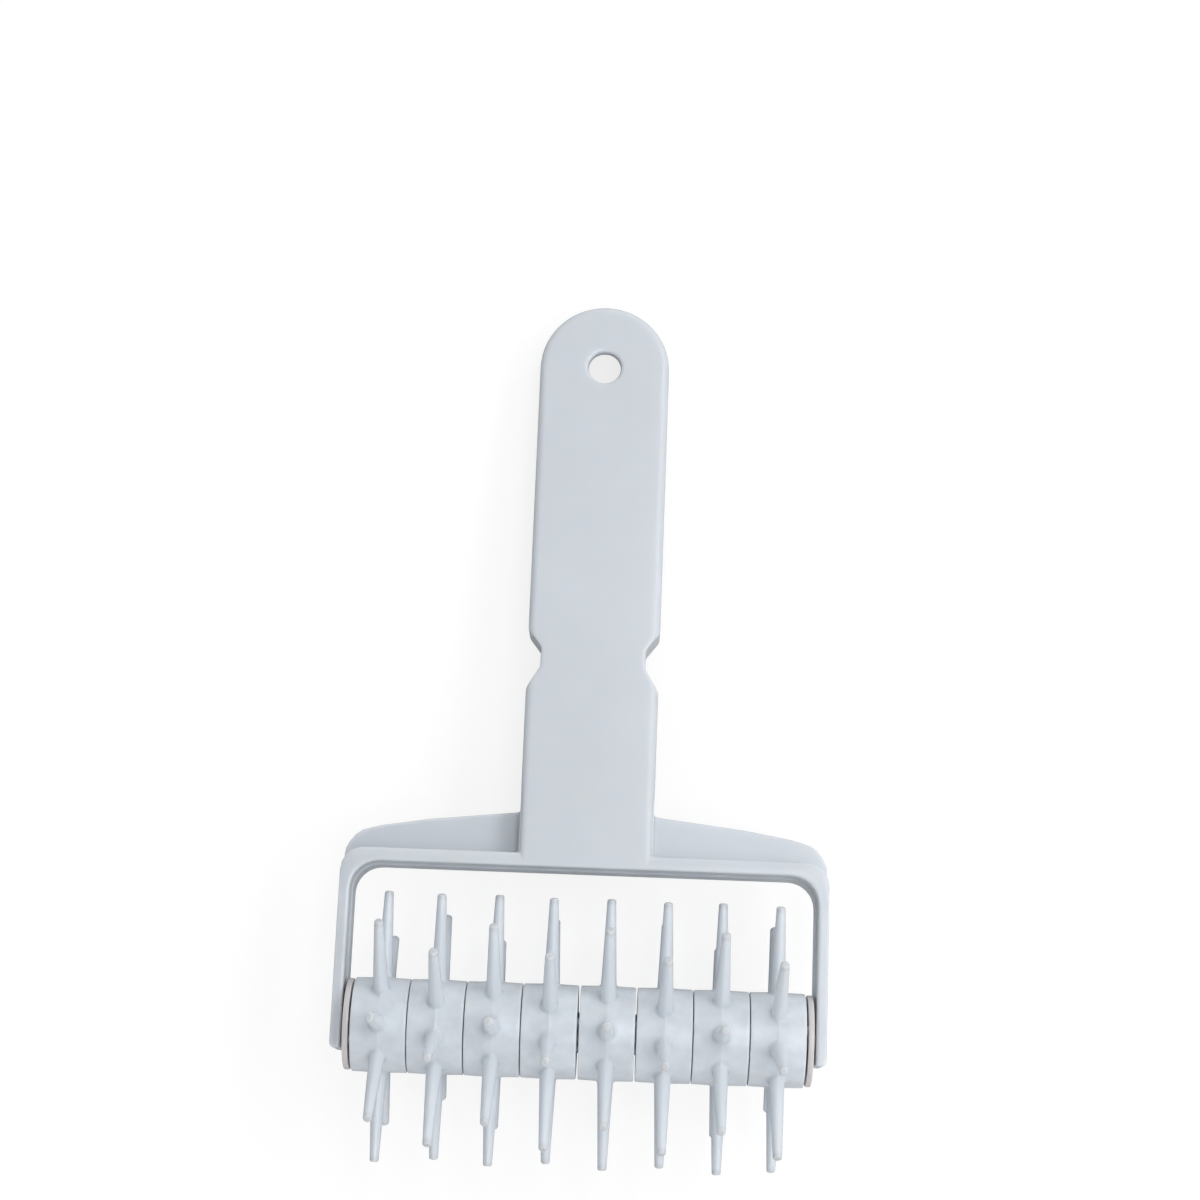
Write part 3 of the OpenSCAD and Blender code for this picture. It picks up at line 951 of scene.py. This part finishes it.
def lock_wheel(wheel, half_width):
    """Gives a wheel's faces the sockets and pips that lock it to its neighbours."""
    socket = pip_bmesh(SOCKET_RADIUS, -SOCKET_DEPTH, CUTTER_SPARE)
    pip = pip_bmesh(PIP_RADIUS, -PIP_ROOT, PIP_HEIGHT, PIP_EDGE)
    tools = []
    for operation, shape, angle in (("DIFFERENCE", socket, PIP_ANGLE), ("UNION", pip, -PIP_ANGLE)):
        places = [place for face in (-1, 1) for place in face_places(angle, face, half_width)]
        tool = at_places("wheel_tool", shape, places)
        cut_or_join(wheel, operation, tool)
        tools.append(tool)
    wheel = settle(wheel, "wheel_whole")
    for tool in tools:
        bpy.data.objects.remove(tool)
    return wheel


class DOCKER_OT_wheels(bpy.types.Operator):
    """Makes the eight spiked wheels, every other one turned over"""

    bl_idname = "docker.wheels"
    bl_label = "Spiked wheels"

    def execute(self, context):
        finish = context.scene.docker_finish
        plastic = moulded_plastic("wheel_plastic", finish.wheel_colour, finish.roughness,
                                  finish.mottle)
        # A wheel's box reaches over its pips
        low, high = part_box(WHEELS[0])
        half_width = (high.x - low.x) / MM / 2 - PIP_HEIGHT
        wheel = plain_wheel(context.scene.docker_wheels, half_width, plastic)
        wheel = lock_wheel(wheel, half_width)
        for number, node in enumerate(WHEELS, start=1):
            mesh = wheel.data.copy()
            move_to_node(mesh, node, turned_over=number % 2 == 0)
            made = link_object(node, mesh)
            finish_piece(made, f"spiked_{node}", plastic, "wheel_plastic", "roller", node)
        bpy.data.objects.remove(wheel)
        return {"FINISHED"}


# Discs and axle


# Sizes in millimetres, and the shares of the way from the bore to the rim of a face's rings
DISC_BORE = 2.15
DISC_EDGE = 0.25
DISC_LIP = 0.12
DISC_EDGE_STEPS = 5
DISC_RINGS = (0.75, 0.5, 0.25)
DISC_SEGMENTS = 128


def lathe_x(profile, segments):
    """Closed ring turned round the X axis from a closed profile of (x, r)."""
    bm = bmesh.new()
    angles = [2 * math.pi * i / segments for i in range(segments)]
    rings = [[bm.verts.new((x, r * math.sin(a), r * math.cos(a))) for a in angles]
             for x, r in profile]
    for j, lower in enumerate(rings):
        upper = rings[(j + 1) % len(rings)]
        for i in range(segments):
            n = (i + 1) % segments
            bm.faces.new((lower[i], lower[n], upper[n], upper[i]))
    bmesh.ops.recalc_face_normals(bm, faces=bm.faces)
    return bm


def disc_profile(radius, half):
    """Closed outline of half a section through a disc, as (x, r)."""
    turns = [math.pi / 2 * k / DISC_EDGE_STEPS for k in range(DISC_EDGE_STEPS + 1)]
    right = [(half - DISC_EDGE + DISC_EDGE * math.sin(a),
              radius - DISC_EDGE + DISC_EDGE * math.cos(a)) for a in turns]
    right += [(half, DISC_BORE + (radius - DISC_BORE) * share) for share in DISC_RINGS]
    right += [(half, DISC_BORE + DISC_LIP), (half - DISC_LIP, DISC_BORE)]
    return right + [(-x, r) for x, r in reversed(right)]


class DOCKER_OT_discs(bpy.types.Operator):
    """Makes the two thin discs between the wheels and the arms"""

    bl_idname = "docker.discs"
    bl_label = "End discs"

    def execute(self, context):
        finish = context.scene.docker_finish
        plastic = moulded_plastic("disc_plastic", finish.disc_colour, finish.roughness)
        for node in DISCS:
            low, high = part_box(node)
            radius = (high.y - low.y) / 2 / MM
            half = (high.x - low.x) / 2 / MM
            profile = disc_profile(radius, half)
            disc = obj_from_bmesh(node + "_plain", lathe_x(profile, DISC_SEGMENTS))
            # Two holes take the pips of the next wheel
            cutter = at_places(node + "_holes",
                               pip_bmesh(SOCKET_RADIUS, -CUTTER_SPARE, 2 * half + CUTTER_SPARE),
                               face_places(-PIP_ANGLE, 1, -half))
            cut_or_join(disc, "DIFFERENCE", cutter)
            disc = settle(disc, node + "_cut")
            bpy.data.objects.remove(cutter)
            move_to_node(disc.data, node, turned_over=node == "end_disc_right")
            finish_piece(disc, f"thin_{node}", plastic, "disc_plastic", "roller", node)
        return {"FINISHED"}


class DOCKER_OT_axle(bpy.types.Operator):
    """Gives the steel rod its drawn finish"""

    bl_idname = "docker.axle"
    bl_label = "Axle"

    def execute(self, context):
        steel = drawn_steel("axle_steel", context.scene.docker_finish.steel_colour)
        rod = frame["nodes"]["axle"]
        if not rod.material_slots:
            rod.data.materials.append(steel)
        for place in rod.material_slots:
            place.material = steel
        return {"FINISHED"}


# Stage


WHITE = (1.0, 1.0, 1.0, 1.0)
# The floor's colours to bounced light and to the camera, to which it also glows
FLOOR_BOUNCED = (0.50, 0.51, 0.52, 1.0)
FLOOR_SEEN = (0.22, 0.22, 0.22, 1.0)
FLOOR_GLOW = 0.80
FLOOR_SQUARES = 8
# Height of the lamps over the floor, in metres
LAMP_HEIGHT = 1.05
# The camera's place from the axle's centre in metres, its turn in degrees about x, y and z, and
# its focal length in pixels of a square picture of this many pixels a side
CAMERA_OFFSET = Vector((0.008222, 0.044704, 0.533886))
CAMERA_TURN = (5.06670, 0.57786, 2.14008)
FOCAL_PIXELS = 2498.8
PICTURE_PIXELS = 1200.0
SENSOR_WIDTH = 36.0
CLIP_NEAR = 0.01
CLIP_FAR = 50.0


def floor_material():
    """Pale floor: near white to the camera, with a faint soft shadow, and dull to bounced light."""
    material, nodes = new_material("floor")
    dull = nodes.add("ShaderNodeBsdfDiffuse", {"Color": FLOOR_BOUNCED})
    shade = nodes.add("ShaderNodeBsdfDiffuse", {"Color": FLOOR_SEEN})
    glow = nodes.add("ShaderNodeEmission", {"Color": WHITE, "Strength": FLOOR_GLOW})
    pale = nodes.add("ShaderNodeAddShader", {0: shade.outputs[0], 1: glow.outputs[0]})
    nodes.add("ShaderNodeOutputMaterial", {"Surface": nodes.by_ray(dull, pale)})
    return material


def room_light(ends, right):
    """Soft room light, brighter past the tool's ends and at the right, white to the camera."""
    world = bpy.data.worlds.new("room")
    world.use_nodes = True
    nodes = Nodes(world.node_tree)
    way = nodes.add("ShaderNodeTexCoord").outputs["Generated"]
    parts = nodes.add("ShaderNodeSeparateXYZ", {"Vector": way}).outputs
    lengthwise = nodes.maths("MULTIPLY", nodes.maths("ABSOLUTE", parts["Y"]), ends)
    sideways = nodes.maths("MULTIPLY", nodes.maths("MAXIMUM", parts["X"], 0.0), right)
    level = nodes.maths("ADD", lengthwise, sideways)
    room = nodes.add("ShaderNodeBackground", {"Color": WHITE, "Strength": level})
    white = nodes.add("ShaderNodeBackground", {"Color": WHITE, "Strength": 1.0})
    nodes.add("ShaderNodeOutputWorld", {"Surface": nodes.by_ray(room, white)})
    return world


def soft_lamp(name, x, y, width, length, power):
    """Soft lamp that hangs level above the floor, with its place and size in metres."""
    lamp = bpy.data.lights.new(name, "AREA")
    lamp.shape = "RECTANGLE"
    lamp.size = width
    lamp.size_y = length
    lamp.energy = power
    made = bpy.data.objects.new(name, lamp)
    made.location = (x, y, LAMP_HEIGHT)
    bpy.context.scene.collection.objects.link(made)


def add_camera(scene):
    """The camera, high above the wheels and turned a little."""
    lens = bpy.data.cameras.new("camera")
    lens.sensor_width = SENSOR_WIDTH
    lens.lens = SENSOR_WIDTH * FOCAL_PIXELS / PICTURE_PIXELS
    lens.clip_start = CLIP_NEAR
    lens.clip_end = CLIP_FAR
    camera = bpy.data.objects.new("camera", lens)
    turn = Euler([math.radians(angle) for angle in CAMERA_TURN]).to_matrix().to_4x4()
    camera.matrix_world = Matrix.Translation(AXLE_CENTRE + CAMERA_OFFSET) @ turn
    scene.collection.objects.link(camera)
    bpy.context.scene.camera = camera


class DOCKER_OT_stage(bpy.types.Operator):
    """Makes the floor, the room light, the lamps and the camera"""

    bl_idname = "docker.stage"
    bl_label = "Stage"

    def execute(self, context):
        scene = context.scene
        setting = scene.docker_stage
        bm = bmesh.new()
        bmesh.ops.create_grid(bm, x_segments=FLOOR_SQUARES, y_segments=FLOOR_SQUARES,
                              size=setting.floor_size / 2)
        floor = obj_from_bmesh("floor", bm)
        floor.data.materials.append(floor_material())
        scene.world = room_light(setting.room_ends, setting.room_right)
        soft_lamp("key_lamp", x=0.175, y=0.12, width=0.25, length=0.95, power=setting.key_power)
        soft_lamp("side_lamp", x=0.85, y=0.375, width=0.5, length=1.45, power=setting.side_power)
        soft_lamp("fill_lamp", x=-0.425, y=-0.725, width=0.35, length=0.75,
                  power=setting.fill_power)
        add_camera(scene)
        scene.view_settings.view_transform = "Standard"
        return {"FINISHED"}


# Panel


# Each section's title, its operator and the settings that it shows
SECTIONS = [
    ("Handle and yoke", "docker.moulding", "docker_moulding"),
    ("Spiked wheels", "docker.wheels", "docker_wheels"),
    ("End discs", "docker.discs", "docker_finish"),
    ("Axle", "docker.axle", None),
    ("Stage", "docker.stage", "docker_stage"),
]
SETTINGS = {
    "docker_moulding": MouldingSettings,
    "docker_wheels": WheelSettings,
    "docker_finish": FinishSettings,
    "docker_stage": StageSettings,
}
OPERATORS = [DOCKER_OT_moulding, DOCKER_OT_wheels, DOCKER_OT_discs, DOCKER_OT_axle,
             DOCKER_OT_stage]


class DOCKER_PT_panel(bpy.types.Panel):
    """Lists the docker's pieces and their settings"""

    bl_label = "Dough docker"
    bl_idname = "DOCKER_PT_panel"
    bl_space_type = "VIEW_3D"
    bl_region_type = "UI"
    bl_category = "Dough docker"

    def draw(self, context):
        for title, operator, group in SECTIONS:
            box = self.layout.box()
            box.operator(operator, text=title)
            if group:
                settings = getattr(context.scene, group)
                for key in type(settings).__annotations__:
                    box.prop(settings, key)


def register():
    for name, group in SETTINGS.items():
        bpy.utils.register_class(group)
        setattr(bpy.types.Scene, name, bpy.props.PointerProperty(type=group))
    for operator in OPERATORS:
        bpy.utils.register_class(operator)
    bpy.utils.register_class(DOCKER_PT_panel)


def unregister():
    bpy.utils.unregister_class(DOCKER_PT_panel)
    for operator in reversed(OPERATORS):
        bpy.utils.unregister_class(operator)
    for name, group in SETTINGS.items():
        delattr(bpy.types.Scene, name)
        bpy.utils.unregister_class(group)


def main():
    register()
    for _, operator, _ in SECTIONS:
        family, action = operator.split(".")
        getattr(getattr(bpy.ops, family), action)()


if __name__ == "__main__":
    main()
